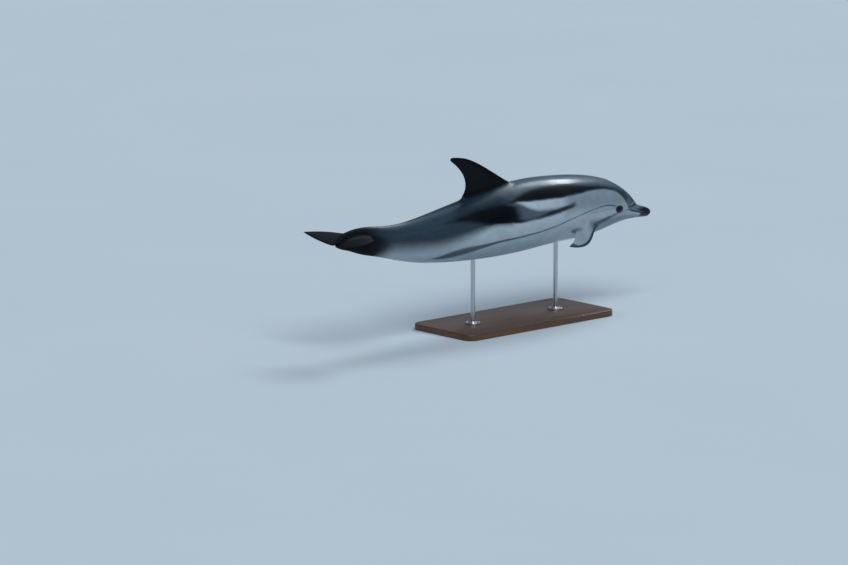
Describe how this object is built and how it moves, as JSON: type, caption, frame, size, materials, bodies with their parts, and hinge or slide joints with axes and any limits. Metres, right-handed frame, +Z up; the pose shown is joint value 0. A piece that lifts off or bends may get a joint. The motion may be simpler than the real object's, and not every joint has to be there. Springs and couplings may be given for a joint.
{
  "type": "striped dolphin",
  "caption": "Life-size striped dolphin in a low leap, mouth closed, flippers swept back, held by two steel rods on a flat wooden base.",
  "frame": {"origin": "on the floor, under the middle of the whole model's box; the underside of the base is at z = 0", "axes": "+X from tail to snout, +Y to the dolphin's left, +Z up"},
  "size_m": [2.0482, 0.4324, 0.8433],
  "materials": {
    "skin": "wet, glossy, smooth skin: slate back and fins, pale grey flanks, white belly, dark side stripes and a light blaze",
    "eye": "very glossy, dark brown-black",
    "stand_wood": "satin-varnished walnut",
    "stand_steel": "satin"
  },
  "bodies": {
    "root": {"beak_upper": "skin", "jaw_lower": "skin", "melon": "skin", "head": "skin", "neck": "skin", "chest": "skin", "trunk_front": "skin", "trunk_middle": "skin", "trunk_rear": "skin", "tail_stock_front": "skin", "tail_stock_middle": "skin", "tail_stock_rear": "skin", "dorsal_fin": "skin", "flipper_left": "skin", "flipper_right": "skin", "fluke_left": "skin", "fluke_right": "skin", "eye_left": "eye", "eye_right": "eye", "stand_base": "stand_wood", "stand_rod_front": "stand_steel", "stand_rod_rear": "stand_steel", "stand_flange_front": "stand_steel", "stand_flange_rear": "stand_steel"}
  },
  "joints": []
}
